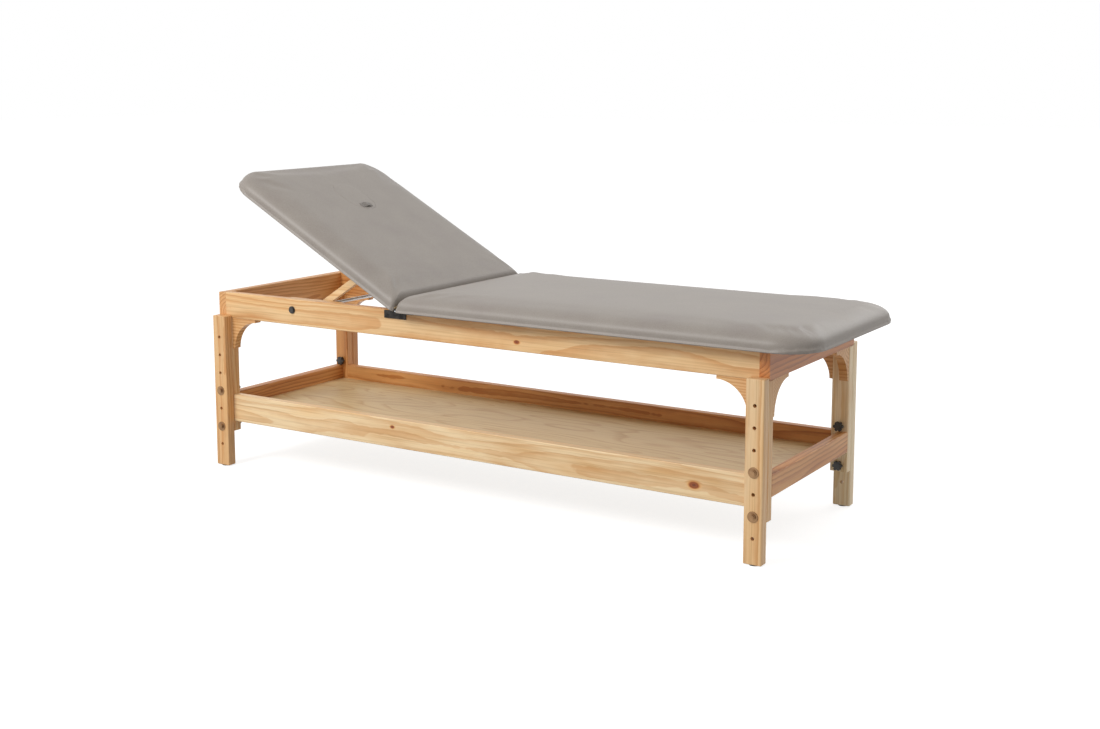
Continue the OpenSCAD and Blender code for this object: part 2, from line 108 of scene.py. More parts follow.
def pine(name, axis, heart, pale="#efc894", late="#dfab72", knots=(), tilt=0.0):
    """Lacquered planed pine. Growth rings are cylinders round the log's heart along the grain axis,
    bent by slow noise; each darkens into its late wood, then starts pale again. Fibres are noise
    drawn out along the grain. A knot is a dark ellipsoid that pushes the rings aside. Rings of 3 to
    6 mm would blur away, so they are drawn at 9 mm, and fibres of 0.1 mm at 1.2 mm."""
    ring, fibre, bent, pushed, halo, core = 0.009, 0.0012, 0.06, 0.016, 3.2, 0.2
    made, tree = material(name)
    at = add(tree, "ShaderNodeTexCoord", out="Object")
    if tilt:
        at = add(
            tree, "ShaderNodeVectorRotate", {"Vector": at, "Angle": tilt}, rotation_type="Y_AXIS"
        )
    along = np.array([axis == a for a in "XYZ"], float)
    slow = add(tree, "ShaderNodeVectorMath", {0: at, 1: 1 - 0.82 * along}, operation="MULTIPLY")
    bend = add(tree, "ShaderNodeTexNoise", {"Vector": slow, "Scale": 7.0, "Detail": 2.0}, "Color")
    bend = add(tree, "ShaderNodeVectorMath", {0: bend, 1: (0.5, 0.5, 0.5)}, operation="SUBTRACT")
    bend = add(tree, "ShaderNodeVectorMath", {0: bend, "Scale": bent}, operation="SCALE")
    place = add(tree, "ShaderNodeVectorMath", {0: at, 1: heart}, operation="SUBTRACT")
    place = add(tree, "ShaderNodeVectorMath", {0: place, 1: bend}, operation="ADD")
    knot = None
    for point, size in knots:
        squeeze = (1 - 0.4 * along) / size
        near = add(tree, "ShaderNodeVectorMath", {0: at, 1: point}, operation="SUBTRACT")
        near = add(tree, "ShaderNodeVectorMath", {0: near, 1: squeeze}, operation="MULTIPLY")
        near = add(tree, "ShaderNodeVectorMath", {0: near}, "Value", operation="LENGTH")
        near = add(
            tree,
            "ShaderNodeMapRange",
            {"Value": near, "From Min": halo, "From Max": core},
            interpolation_type="SMOOTHSTEP",
        )
        if knot is not None:
            near = add(tree, "ShaderNodeMath", {0: knot, 1: near}, operation="MAXIMUM")
        knot = near
    if knot is not None:
        push = add(tree, "ShaderNodeVectorMath", {0: knot, 1: (pushed,) * 3}, operation="MULTIPLY")
        place = add(tree, "ShaderNodeVectorMath", {0: place, 1: push}, operation="ADD")
    rings = add(
        tree,
        "ShaderNodeTexWave",
        {"Vector": place, "Scale": math.pi / 10 / ring, "Distortion": 0.8, "Detail": 1.0},
        "Fac",
        wave_type="RINGS",
        rings_direction=axis,
        wave_profile="SAW",
    )
    drawn = (1 - 0.985 * along) / fibre
    drawn = add(tree, "ShaderNodeVectorMath", {0: at, 1: drawn}, operation="MULTIPLY")
    fibres = add(tree, "ShaderNodeTexNoise", {"Vector": drawn, "Scale": 0.35, "Detail": 3.0}, "Fac")
    cloud = add(tree, "ShaderNodeTexNoise", {"Vector": slow, "Scale": 14.0, "Detail": 3.0}, "Fac")
    layers = [
        (fibres, [(0.3, "#ebe5dc"), (0.55, "#ffffff")]),
        (cloud, [(0.3, "#ead5ba"), (0.5, "#ffffff"), (0.7, "#fff5e6")]),
    ]
    if knot is not None:
        outer = [(0.0, "#ffffff"), (0.35, "#f5dcba"), (0.6, "#c68a50")]
        inner = [(0.72, "#8f5429"), (0.88, "#a9693a"), (1.0, "#7c4522")]
        layers.append((knot, outer + inner))
    stops = [(0.0, pale), (0.4, pale), (0.86, late), (0.96, late), (1.0, pale)]
    wood = add(tree, "ShaderNodeValToRGB", {"Fac": rings}, stops=stops)
    for value, stops in layers:
        layer = add(tree, "ShaderNodeValToRGB", {"Fac": value}, stops=stops)
        wood = add(tree, "ShaderNodeMix", {"Factor": 1.0, 6: wood, 7: layer}, 2, **multiply)
    dull = add(tree, "ShaderNodeMapRange", {"Value": fibres, "To Min": 0.38, "To Max": 0.56})
    relief = add(tree, "ShaderNodeBump", {"Height": fibres, "Strength": 0.25, "Distance": 0.0004})
    shader = add(
        tree,
        "ShaderNodeBsdfPrincipled",
        {
            "Base Color": wood,
            "Roughness": dull,
            "Normal": relief,
            "IOR": 1.5,
            "Coat Weight": 0.12,
            "Coat Roughness": 0.3,
        },
    )
    add(tree, "ShaderNodeOutputMaterial", {"Surface": shader})
    return made


def middle(name):
    """Middle of a CAD node's box."""
    return np.mean(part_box(name), axis=0)


# Darker, redder pine for the boards that stand in shade: painted shade.
painted_shade_red = {"pale": "#dfa566", "late": "#c07e40"}
clothe(
    ["long_rail_front"],
    pine(
        "pine_long_rail_front",
        "X",
        middle("long_rail_front") + (0, 0.045, -0.02),
        knots=[((0.12, -0.287, 0.49), 0.003)],
    ),
)
clothe(
    ["long_rail_rear"],
    pine("pine_long_rail_rear", "X", middle("long_rail_rear") + (0, -0.05, 0.03), **painted_shade_red),
)
for name, off, tone in (
    # The head end rail gets a darker tone, and the foot end rail a darker, redder one still:
    # painted shade inside the head end and under the pad's overhang at the foot.
    ("end_rail_head", (0.05, 0, -0.03), {"pale": "#e4b077", "late": "#cb8f54"}),
    ("end_rail_foot", (-0.045, 0, 0.04), {"pale": "#d08a4e", "late": "#b06a35"}),
    ("cross_rail_hinge", (0.03, 0, -0.05), painted_shade_red),
    ("cross_rail_middle", (0.04, 0, 0.045), {}),
    ("cross_rail_foot", (-0.035, 0, -0.04), painted_shade_red),
):
    clothe([name], pine("pine_" + name, "Y", middle(name) + off, **tone))


# Leg extensions: pine boards with a row of index holes, clamped outside the posts. Each is a
# rounded section run upwards, eased at both ends, and bored through.
def shape(name, points, faces, finish, smooth=True):
    """A mesh object at the origin from an array of points and a list of faces."""
    data = bpy.data.meshes.new(name)
    faces = [np.asarray(face).tolist() for face in faces]
    data.from_pydata(np.asarray(points, float).tolist(), [], faces)
    data.polygons.foreach_set("use_smooth", np.full(len(data.polygons), smooth))
    data.update()
    made = bpy.data.objects.new(name, data)
    bpy.context.scene.collection.objects.link(made)
    data.materials.append(finish)
    return made


def rounded(width, depth, radius, count=6):
    """Outline of a rectangle about the origin with round corners: a quarter circle at each."""
    turn = np.linspace(0, np.pi / 2, count)
    quarter = radius * np.column_stack([np.cos(turn), np.sin(turn)])
    spin = [np.array([[c, s], [-s, c]]) for c, s in ((1, 0), (0, 1), (-1, 0), (0, -1))]
    signs = ((1, 1), (-1, 1), (-1, -1), (1, -1))
    half = np.array([width / 2 - radius, depth / 2 - radius])
    return np.concatenate([quarter @ m + half * sign for m, sign in zip(spin, signs)])


def stacked(layers):
    """A closed upright solid through (outline, height) layers from the bottom up, all of equally
    many points, joined by quads and capped."""
    n = len(layers[0][0])
    points = [np.column_stack([outline, np.full(n, height)]) for outline, height in layers]
    index = np.arange(len(layers) * n).reshape(-1, n)
    around = np.roll(index, -1, 1)
    sides = np.stack([index[:-1], around[:-1], around[1:], index[1:]], 2).reshape(-1, 4)
    return np.concatenate(points), [*sides, index[0][::-1], index[-1]]


def frozen(piece):
    """The piece with its modifiers applied, so that only a plain mesh is left."""
    bpy.context.view_layer.update()
    graph = bpy.context.evaluated_depsgraph_get()
    data = bpy.data.meshes.new_from_object(piece.evaluated_get(graph))
    piece.modifiers.clear()
    piece.data = data


def bored(piece, cutters, angle):
    """Subtracts each cutter exactly, and marks edges sharper than angle as sharp."""
    for cutter in cutters:
        cut = piece.modifiers.new("cut", "BOOLEAN")
        cut.object, cut.operation, cut.solver = cutter, "DIFFERENCE", "EXACT"
    frozen(piece)
    for cutter in cutters:
        bpy.data.objects.remove(cutter)
    piece.data.set_sharp_from_angle(angle=math.radians(angle))


edge, ease = 0.003, 0.0015
first_hole, pitch, hole_count, hole = 0.070, 0.056, 7, 0.010
past_leg = 0.03
turn = np.linspace(0, 2 * np.pi, 32, endpoint=False)
ring = hole / 2 * np.column_stack([np.cos(turn), np.sin(turn)])
corners = ("head_front", "head_rear", "foot_front", "foot_rear")
# The rear head-end leg takes the redder pine of the boards in shade (painted shade). The rear
# foot-end leg, also in shade, takes the palest tone (painted light).
leg_tones = (
    {"pale": "#e8bd88", "late": "#d6a067"},
    painted_shade_red,
    {"pale": "#f0cd9e", "late": "#deae78"},
    {"pale": "#ffebc8", "late": "#f2d5a6"},
)
for i, (corner, tone) in enumerate(zip(corners, leg_tones)):
    rear = 1 if "rear" in corner else -1
    low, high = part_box("leg_" + corner)
    centre = (low + high) / 2
    face = high.y if rear > 0 else low.y
    knots = [((centre.x - 0.012, face, 0.27 + 0.04 * i), 0.005)] if i == 1 else ()
    heart = np.array(centre) + (0.02 - 0.015 * i, -rear * 0.05, 0)
    wood = pine("pine_leg_" + corner, "Z", heart, knots=knots, **tone)
    size = high - low
    full = rounded(size.x, size.y, edge) + (centre.x, centre.y)
    end = rounded(size.x - 2 * ease, size.y - 2 * ease, edge - ease) + (centre.x, centre.y)
    layers = [(end, low.z), (full, low.z + ease), (full, high.z - ease), (end, high.z)]
    leg = shape("leg_extension_" + corner, *stacked(layers), wood)
    cutters = []
    for k in range(hole_count):
        tube, faces = stacked([(ring, -past_leg), (ring, past_leg)])
        tube = tube[:, [0, 2, 1]] * (1, -1, 1) + (centre.x, centre.y, first_hole + k * pitch)
        cutters.append(shape("cutter", tube, faces, wood))
    bored(leg, cutters, 30)
    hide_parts("leg_" + corner)
    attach(leg, "legs")


# Posts and corner brackets: the grain stands upright in the posts, and runs with the rail above in
# the brackets, which are sawn from offcuts.
# The rear head-end post takes the redder pine of the boards in shade (painted shade). The rear
# foot-end post takes the palest tone (painted light).
post_tones = ({}, painted_shade_red, {}, leg_tones[3])
for i, (corner, tone) in enumerate(zip(corners, post_tones)):
    rear = 1 if "rear" in corner else -1
    heart = middle("post_" + corner) + (0.025 * i - 0.04, 0.04, 0)
    clothe(["post_" + corner], pine("pine_post_" + corner, "Z", heart, **tone))
    heart = middle("bracket_" + corner) + (0, rear * 0.06, 0.09)
    clothe(["bracket_" + corner], pine("pine_bracket_" + corner, "X", heart, "#e8b981", "#cf965b"))


# Storage shelf: four pine rails, grooved for a thin birch plywood board that is let in before the
# posts close round it.
def plywood(name, tilt=0.0, pale="#dec596", late="#cdab76"):
    """Rotary-cut birch veneer under lacquer: slow noise, drawn out along X and cut into equal
    steps, gives long flames of little contrast. Noise of 2 mm, drawn out further, gives its
    flecks."""
    made, tree = material(name)
    at = add(tree, "ShaderNodeTexCoord", out="Object")
    if tilt:
        at = add(
            tree, "ShaderNodeVectorRotate", {"Vector": at, "Angle": tilt}, rotation_type="Y_AXIS"
        )
    slow = add(tree, "ShaderNodeVectorMath", {0: at, 1: (0.16, 1, 1)}, operation="MULTIPLY")
    warp = add(tree, "ShaderNodeTexNoise", {"Vector": slow, "Scale": 5.0, "Detail": 2.0}, "Fac")
    steps = add(tree, "ShaderNodeMath", {0: warp, 1: 24.0}, operation="MULTIPLY")
    steps = add(tree, "ShaderNodeMath", {0: steps}, operation="FRACT")
    stops = [(0.0, pale), (0.6, pale), (0.9, late), (1.0, pale)]
    veneer = add(tree, "ShaderNodeValToRGB", {"Fac": steps}, stops=stops)
    drawn = add(tree, "ShaderNodeVectorMath", {0: at, 1: (15, 500, 500)}, operation="MULTIPLY")
    pores = add(tree, "ShaderNodeTexNoise", {"Vector": drawn, "Scale": 0.5, "Detail": 2.0}, "Fac")
    stops = [(0.25, "#e6dccb"), (0.5, "#ffffff")]
    fleck = add(tree, "ShaderNodeValToRGB", {"Fac": pores}, stops=stops)
    veneer = add(tree, "ShaderNodeMix", {"Factor": 1.0, 6: veneer, 7: fleck}, 2, **multiply)
    relief = add(tree, "ShaderNodeBump", {"Height": pores, "Strength": 0.2, "Distance": 0.0003})
    shader = add(
        tree,
        "ShaderNodeBsdfPrincipled",
        {
            "Base Color": veneer,
            "Roughness": 0.48,
            "Normal": relief,
            "IOR": 1.5,
            "Coat Weight": 0.1,
            "Coat Roughness": 0.35,
        },
    )
    add(tree, "ShaderNodeOutputMaterial", {"Surface": shader})
    return made


clothe(
    ["shelf_rail_front"],
    pine(
        "pine_shelf_rail_front",
        "X",
        middle("shelf_rail_front") + (0, 0.05, -0.01),
        pale="#f8dcb0",
        late="#ebc594",
        knots=[((0.658, -0.287, 0.173), 0.0055), ((-0.31, -0.287, 0.2), 0.0025)],
    ),
)
# The rear and end shelf rails, in the bed's shadow, take the redder pine of the boards in shade:
# painted shade.
clothe(
    ["shelf_rail_rear"],
    pine("pine_shelf_rail_rear", "X", middle("shelf_rail_rear") + (0, -0.05, 0.02), **painted_shade_red),
)
for name, off in (("shelf_rail_head", (0.045, 0, 0.05)), ("shelf_rail_foot", (-0.05, 0, -0.045))):
    clothe([name], pine("pine_" + name, "Y", middle(name) + off, **painted_shade_red))
clothe(["shelf_board", "bed_board"], plywood("birch_plywood"))


# Clamp bolts with domed heads and washers of bronzed steel, through the legs into lobed knobs of
# black nylon; nylon glides are pressed into the legs.
def moulded(name, colour, dull):
    """Moulded nylon: one colour through and through, with the mould's fine spark-eroded grain as
    bump and a faint change of tone. It is a tenth of a millimetre, and is drawn at one."""
    made, tree = material(name)
    at = add(tree, "ShaderNodeTexCoord", out="Object")
    grain = add(tree, "ShaderNodeTexNoise", {"Vector": at, "Scale": 900.0, "Detail": 2.0}, "Fac")
    stops = [(0.3, colour), (0.75, "#3a3836")]
    relief = add(tree, "ShaderNodeBump", {"Height": grain, "Strength": 0.3, "Distance": 0.0002})
    shader = add(
        tree,
        "ShaderNodeBsdfPrincipled",
        {
            "Base Color": add(tree, "ShaderNodeValToRGB", {"Fac": grain}, stops=stops),
            "Roughness": dull,
            "Normal": relief,
            "IOR": 1.53,
        },
    )
    add(tree, "ShaderNodeOutputMaterial", {"Surface": shader})
    return made


def plated(name, colour, worn, dull):
    """Finished steel: the plating or blacking is cloudy, and is thinner and brighter in patches of
    about 15 mm."""
    made, tree = material(name)
    at = add(tree, "ShaderNodeTexCoord", out="Object")
    cloud = add(tree, "ShaderNodeTexNoise", {"Vector": at, "Scale": 60.0, "Detail": 4.0}, "Fac")
    rough = add(
        tree, "ShaderNodeMapRange", {"Value": cloud, "To Min": dull - 0.08, "To Max": dull + 0.12}
    )
    relief = add(tree, "ShaderNodeBump", {"Height": cloud, "Strength": 0.15, "Distance": 0.0003})
    stops = [(0.35, colour), (0.75, worn)]
    shader = add(
        tree,
        "ShaderNodeBsdfPrincipled",
        {
            "Base Color": add(tree, "ShaderNodeValToRGB", {"Fac": cloud}, stops=stops),
            "Metallic": 1.0,
            "Roughness": rough,
            "Normal": relief,
        },
    )
    add(tree, "ShaderNodeOutputMaterial", {"Surface": shader})
    return made


nylon = moulded("black_nylon", "#262422", 0.42)
clothe([name for name in nodes if name.startswith(("knob_", "glide_"))], nylon)
clothe(["runner_bolts"], nylon)
clothe(["clamp_bolts"], plated("bronzed_steel", "#8a6b4e", "#a68563", 0.42))


# Backrest: a birch plywood board on two pine battens and a cross batten, screwed together, turning
# on two hinges of blackened steel with plain pins.
hinge = next(joint for joint in frame["joints"] if joint["name"] == "backrest_tilt")
raised = math.radians(-hinge["range_deg"][0])
axle = Vector(hinge["pos_m"])
on_back = Matrix.Translation(axle) @ Matrix.Rotation(raised, 4, "Y")
clothe(["back_board", "face_plug_board"], plywood("birch_plywood_back", -raised))
for name, off in (
    ("back_batten_front", (0, 0.03, -0.05)),
    ("back_batten_rear", (0, -0.04, 0.05)),
):
    clothe([name], pine("pine_" + name, "X", middle(name) + off, tilt=-raised))
clothe(
    ["back_batten_head"],
    pine("pine_back_batten_head", "Y", middle("back_batten_head") + (0.03, 0, 0.04)),
)
blacked = plated("blackened_steel", "#2b2928", "#4b4845", 0.45)
clothe([name for name in nodes if name.startswith("hinge_")], blacked)
zinc = plated("zinc_plated_steel", "#b9bcc0", "#d5d8da", 0.3)
clothe(["hinge_pins"], zinc)


# Cross-head screws: three zinc plated ones in each hinge leaf and each batten, and two blackened
# ones in each hinge plate on the rails.
def screw_head(diameter, rise):
    """A closed pan head about the origin, domed towards +Z: a square grid is drawn to a disc, its
    height falls with the square of the radius, and a cross is sunk in it. A skirt closes it."""
    count = 15
    side = np.linspace(-1, 1, count)
    u, v = np.meshgrid(side, side, indexing="ij")
    x, y = u * np.sqrt(1 - v * v / 2), v * np.sqrt(1 - u * u / 2)
    height = rise * (1 - 0.75 * (x * x + y * y))
    cross = (np.minimum(abs(x), abs(y)) < 0.15) & (np.maximum(abs(x), abs(y)) < 0.6)
    top = np.dstack([x * diameter / 2, y * diameter / 2, height - 0.55 * rise * cross])
    index = np.arange(count**2).reshape(count, count)
    quads = np.stack([index[:-1, :-1], index[1:, :-1], index[1:, 1:], index[:-1, 1:]], axis=2)
    border = np.concatenate([index[:-1, 0], index[-1, :-1], index[:0:-1, -1], index[0, :0:-1]])
    skirt = top.reshape(-1, 3)[border] * (1, 1, 0)
    low = count**2 + np.arange(len(border))
    sides = np.stack([border, low, np.roll(low, -1), np.roll(border, -1)], axis=1)
    return np.concatenate([top.reshape(-1, 3), skirt]), [*quads.reshape(-1, 4), *sides, low[::-1]]


def repeated(points, faces, places):
    """Points and faces of the same shape at each 4x4 matrix in places."""
    at = np.array([np.array(m) for m in places])
    moved = np.einsum("kij,nj->kni", at[:, :3, :3], points) + at[:, None, :3, 3]
    shift = np.arange(len(at)) * len(points)
    return moved.reshape(-1, 3), [np.asarray(f) + s for s in shift for f in faces]


down = Matrix.Rotation(math.pi, 4, "X")
leaf_mid, batten_mid = middle("hinge_leaf_rear")[1], middle("back_batten_rear")[1]
board_under, leaf, batten, plate = -0.003, 0.003, 0.034, 0.003
leaf_spots, batten_spots, plate_spots = (0.016, 0.034, 0.052), (0.07, 0.22, 0.36), (0.014, 0.044)
plate_row = 0.011
head, dome = 0.008, 0.0018
under_back = [
    on_back @ Matrix.Translation((-along, side * across, board_under - depth)) @ down
    for side in (-1, 1)
    for across, depth, spots in (
        (leaf_mid, leaf, leaf_spots),
        (batten_mid, batten, batten_spots),
    )
    for along in spots
]
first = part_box("hinge_bracket_rear")[0] + Vector((0, plate, plate_row))
on_plate = [
    Matrix.Translation((first.x + along, side * first.y, first.z))
    @ Matrix.Rotation(side * -math.pi / 2, 4, "X")
    for side in (-1, 1)
    for along in plate_spots
]
for name, places, steel, slot, body in (
    ("backrest_screws", under_back, zinc, "zinc_steel", "backrest"),
    ("hinge_plate_screws", on_plate, blacked, "black_steel", "frame"),
):
    screws = shape(name, *repeated(*screw_head(head, dome), places), steel)
    screws.data.set_sharp_from_angle(angle=math.radians(35))
    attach(screws, body)


# Prop: two pine arms on zinc plated rods. The upper rod turns in the battens, and the lower rod
# drops into the notches of the two pine runners.
for name, off in (("runner_front", (0, 0.03, -0.05)), ("runner_rear", (0, -0.04, 0.05))):
    clothe([name], pine("pine_" + name, "X", middle(name) + off))
for name in ("prop_arm_front", "prop_arm_rear"):
    clothe([name], pine("pine_" + name, "X", middle(name) + (0, 0.03, 0.03), "#f6d9ab", "#e8c08a"))
clothe(["prop_rod_upper", "prop_rod_foot"], zinc)


# Bed cushion: firm foam on the bed board under one skin of grey leathercloth, which is drawn down
# over the edges, round the board and stapled below. The edges are full and softly rounded.
def leathercloth(name):
    """Vinyl leathercloth: pebbles of 1 to 2 mm are embossed in it, drawn at 2.4 mm so that they
    show; the tone is faintly mottled, the creases between pebbles carry painted shade, and the
    shine is a soft satin."""
    pebble = 0.0024
    made, tree = material(name)
    at = add(tree, "ShaderNodeTexCoord", out="Object")
    cells = add(
        tree,
        "ShaderNodeTexVoronoi",
        {"Vector": at, "Scale": 1 / pebble, "Randomness": 0.9},
        "Distance",
        feature="SMOOTH_F1",
    )
    cloud = add(tree, "ShaderNodeTexNoise", {"Vector": at, "Scale": 9.0, "Detail": 4.0}, "Fac")
    stops = [(0.3, "#978e87"), (0.5, "#9c948c"), (0.72, "#a19991")]
    tone = add(tree, "ShaderNodeValToRGB", {"Fac": cloud}, stops=stops)
    # Painted shade: the sunken creases between the pebbles are a little darker.
    stops = [(0.0, "#ffffff"), (0.9, "#e8e5e2")]
    crease_shade = add(tree, "ShaderNodeValToRGB", {"Fac": cells}, stops=stops)
    tone = add(tree, "ShaderNodeMix", {"Factor": 1.0, 6: tone, 7: crease_shade}, 2, **multiply)
    ripple = add(
        tree,
        "ShaderNodeTexNoise",
        {"Vector": at, "Scale": 22.0, "Detail": 2.0, "Distortion": 0.4},
        "Fac",
    )
    soft = add(tree, "ShaderNodeBump", {"Height": ripple, "Strength": 0.2, "Distance": 0.002})
    relief = add(
        tree,
        "ShaderNodeBump",
        {"Height": cells, "Strength": 0.35, "Distance": -0.0003, "Normal": soft},
    )
    rough = add(tree, "ShaderNodeMapRange", {"Value": cloud, "To Min": 0.42, "To Max": 0.56})
    shader = add(
        tree,
        "ShaderNodeBsdfPrincipled",
        {
            "Base Color": tone,
            "Roughness": rough,
            "Normal": relief,
            "IOR": 1.5,
            "Sheen Weight": 0.1,
            "Sheen Roughness": 0.5,
        },
    )
    add(tree, "ShaderNodeOutputMaterial", {"Surface": shader})
    return made


def rectangle(length, far, near, side_in, far_in, near_in):
    """Grid over a pad's outline, drawn in from its sides and ends. Columns stand across it: by
    angle round the near corners, evenly between, by angle round the far ones; each is as long as
    the outline is wide there."""
    step, rows = 0.014, 49
    columns = int(length / step)
    turn = np.linspace(np.pi / 2, 0, 9)
    x = max(near, near_in) - max(near - near_in, 0) * np.sin(turn)
    half = width / 2 - max(near, side_in) + max(near - side_in, 0) * np.cos(turn)
    between = np.linspace(x[-1], length - far, columns + 1)[1:]
    turn = np.linspace(0, np.pi / 2, 31)[1:]
    x = np.concatenate([x, between, length - far + (far - far_in) * np.sin(turn)])
    far_half = width / 2 - far + (far - side_in) * np.cos(turn)
    half = np.concatenate([half, np.full(columns, width / 2 - side_in), far_half])
    across = np.linspace(-1, 1, rows)
    return np.stack([np.outer(x, np.ones(rows)), np.outer(half, across)], axis=2)


def rim(grid):
    """A grid's border, counter-clockwise from its near right corner."""
    return np.concatenate([grid[:-1, 0], grid[-1, :-1], grid[:0:-1, -1], grid[0, :0:-1]])


def cushion(length, far, far_soft):
    """Closed skin of a pad, x from its near end, z from its board's underside. The top is a grid
    with a low crown. Rings lead down from its border along a quarter ellipse to the waist, along
    another under the board's edge, and up to a second grid that lies on the board."""
    soft, near_soft, crown, waist, tuck = 0.056, 0.018, 0.004, 0.019, 0.45
    top_corner, waist_corner, crown_run, crown_side = 0.030, 0.014, 0.30, 0.25
    top = rectangle(length, far, top_corner, soft, far_soft, near_soft)
    widest = rim(rectangle(length, far, waist_corner, 0, 0, -lap))
    lowest = rim(rectangle(length, far, board_corner, 0, 0, -lap))
    bed = rectangle(length, far, board_corner, wrap, wrap, lap)
    inner, seat = rim(top), rim(bed)
    inward = [
        top[..., 0] / crown_run,
        (length - top[..., 0]) / crown_run,
        (width / 2 - abs(top[..., 1])) / crown_side,
    ]
    height = thick - crown * (1 - np.clip(np.minimum.reduce(inward), 0, 1)) ** 2
    edge_top = rim(height[..., None])[:, 0]
    layers = []
    for turn in np.linspace(0, np.pi / 2, 11)[1:]:
        flat = inner + (widest - inner) * np.sin(turn)
        layers.append((flat, waist + (edge_top - waist) * np.cos(turn)))
    tucked = lowest + (seat - lowest) * tuck
    for turn in np.linspace(0, np.pi / 2, 7)[1:]:
        flat = widest + (tucked - widest) * (1 - np.cos(turn))
        layers.append((flat, np.full(len(flat), waist * (1 - np.sin(turn)))))
    layers += [(seat, np.zeros(len(seat))), (seat, np.full(len(seat), board / 2))]
    ceiling = np.dstack([bed, np.full(bed.shape[:2], board)])
    points = [np.dstack([top, height]).reshape(-1, 3)]
    points += [np.column_stack(layer) for layer in layers]
    points = np.concatenate([*points, ceiling.reshape(-1, 3)])
    index = np.arange(height.size).reshape(height.shape)
    quads = np.stack([index[:-1, :-1], index[1:, :-1], index[1:, 1:], index[:-1, 1:]], 2)
    quads = quads.reshape(-1, 4)
    border, count = rim(index[..., None])[:, 0], len(inner)
    under = height.size + len(layers) * count
    loops = [border, *np.arange(height.size, under).reshape(-1, count), under + border]
    faces = [quads, under + quads[:, ::-1]]
    for a, b in zip(loops[:-1], loops[1:]):
        faces.append(np.stack([a, b, np.roll(b, -1), np.roll(a, -1)], axis=1))
    return points, np.concatenate(faces)


def swell(piece, held):
    """The skin as a cloth, blown out by the foam's pressure with gravity off; held points stay
    where they are, and no other moves further than a foam pad's skin would."""
    most, steps = 0.006, 20
    rest = np.zeros(len(piece.data.vertices) * 3)
    piece.data.vertices.foreach_get("co", rest)
    rest = rest.reshape(-1, 3)
    group = piece.vertex_groups.new(name="held")
    group.add(np.flatnonzero(held).tolist(), 1.0, "REPLACE")
    cloth = piece.modifiers.new("skin", "CLOTH")
    cloth.settings.use_pressure = True
    cloth.settings.uniform_pressure_force = 4.0
    cloth.settings.effector_weights.gravity = 0
    cloth.settings.vertex_group_mass = "held"
    cloth.collision_settings.use_collision = False
    for step in range(1, steps + 1):
        bpy.context.scene.frame_set(step)
    shown = piece.evaluated_get(bpy.context.evaluated_depsgraph_get()).to_mesh()
    moved = np.zeros(rest.size)
    shown.vertices.foreach_get("co", moved)
    piece.modifiers.clear()
    piece.vertex_groups.clear()
    bpy.context.scene.frame_set(1)
    move = moved.reshape(-1, 3) - rest
    size = np.linalg.norm(move, axis=1, keepdims=True)
    return rest + move * np.minimum(1, most / np.maximum(size, 1e-9))


def wall(points):
    """How far along each point's height the plane lies that halves the angle between the two pads
    at rest, where each is pressed flat against the other."""
    return np.maximum(-lap, (points[:, 2] + rise) * math.tan(raised / 2) - start)


def pad(name, length, far, far_soft):
    """A finished pad, x from the near end of its board: leant back from its neighbour, swollen,
    fitted to its size, pressed against its neighbour, gathered low down at its round corners, and
    subdivided once."""
    leant, held, band, gathered, deep, folds = 0.06, 0.004, 0.02, 0.024, 0.0007, 28
    points, faces = cushion(length, far, far_soft)
    points[:, 0] += np.maximum(0, wall(points)) * np.clip(1 - points[:, 0] / leant, 0, 1)
    made = shape(name, points, faces, vinyl)
    flat = (abs(points[:, 1]) < width / 2 - wrap) & (points[:, 0] < length - wrap)
    points = swell(made, (points[:, 2] < board + 1e-6) & flat | (points[:, 2] < held))
    points *= np.array([length, width / 2, thick]) / points.max(axis=0)
    points[:, 0] = np.maximum(points[:, 0], wall(points))
    points[:, 2] = np.maximum(points[:, 2], 0)
    out = np.column_stack([points[:, 0], abs(points[:, 1])]) - (length - far, width / 2 - far)
    angle = np.clip(np.arctan2(out[:, 1], out[:, 0]), 0, np.pi / 2)
    near = (out > 0).all(axis=1) & (np.linalg.norm(out, axis=1) > far - band)
    low = np.clip(1 - points[:, 2] / gathered, 0, 1)
    fold = -deep * near * low * (1 - np.cos(angle * folds)) * np.sin(2 * angle)
    points[:, 0] += fold * np.cos(angle)
    points[:, 1] += fold * np.sin(angle) * np.sign(points[:, 1])
    made.data.vertices.foreach_set("co", points.astype(np.float32).ravel())
    smooth = made.modifiers.new("smooth", "SUBSURF")
    smooth.levels = smooth.render_levels = 1
    frozen(made)
    made.data.polygons.foreach_set("use_smooth", np.full(len(made.data.polygons), True))
    return made


vinyl = leathercloth("vinyl_leathercloth")
bed_low, bed_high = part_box("bed_cushion")
board_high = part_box("bed_board")[1]
width, thick = bed_high.y - bed_low.y, bed_high.z - bed_low.z
board, wrap = board_high.z - bed_low.z, bed_high.x - board_high.x
board_corner, lap = 0.012, 0.0012
rise, start = bed_low.z - axle.z, bed_low.x - axle.x - lap / 2
on_bed = Matrix.Translation((bed_low.x, 0, bed_low.z))
bed_length, bed_corner = bed_high.x - bed_low.x, 0.110
bed = pad("bed_upholstery", bed_length, bed_corner, 0.060)
bed.data.transform(on_bed)
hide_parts("bed_cushion")
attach(bed, "frame")


# Backrest cushion: the same foam and leathercloth on the backrest board, pressed at its near end
# against the bed's. The face opening is cut through it.
def oval(length, breadth, count=96):
    """Points round an oval with straight sides along x: two half circles set apart."""
    turn = np.linspace(0, 2 * np.pi, count, endpoint=False) + np.pi / count
    apart = np.sign(np.cos(turn)) * (length - breadth) / 2
    return np.column_stack([breadth / 2 * np.cos(turn) + apart, breadth / 2 * np.sin(turn)])


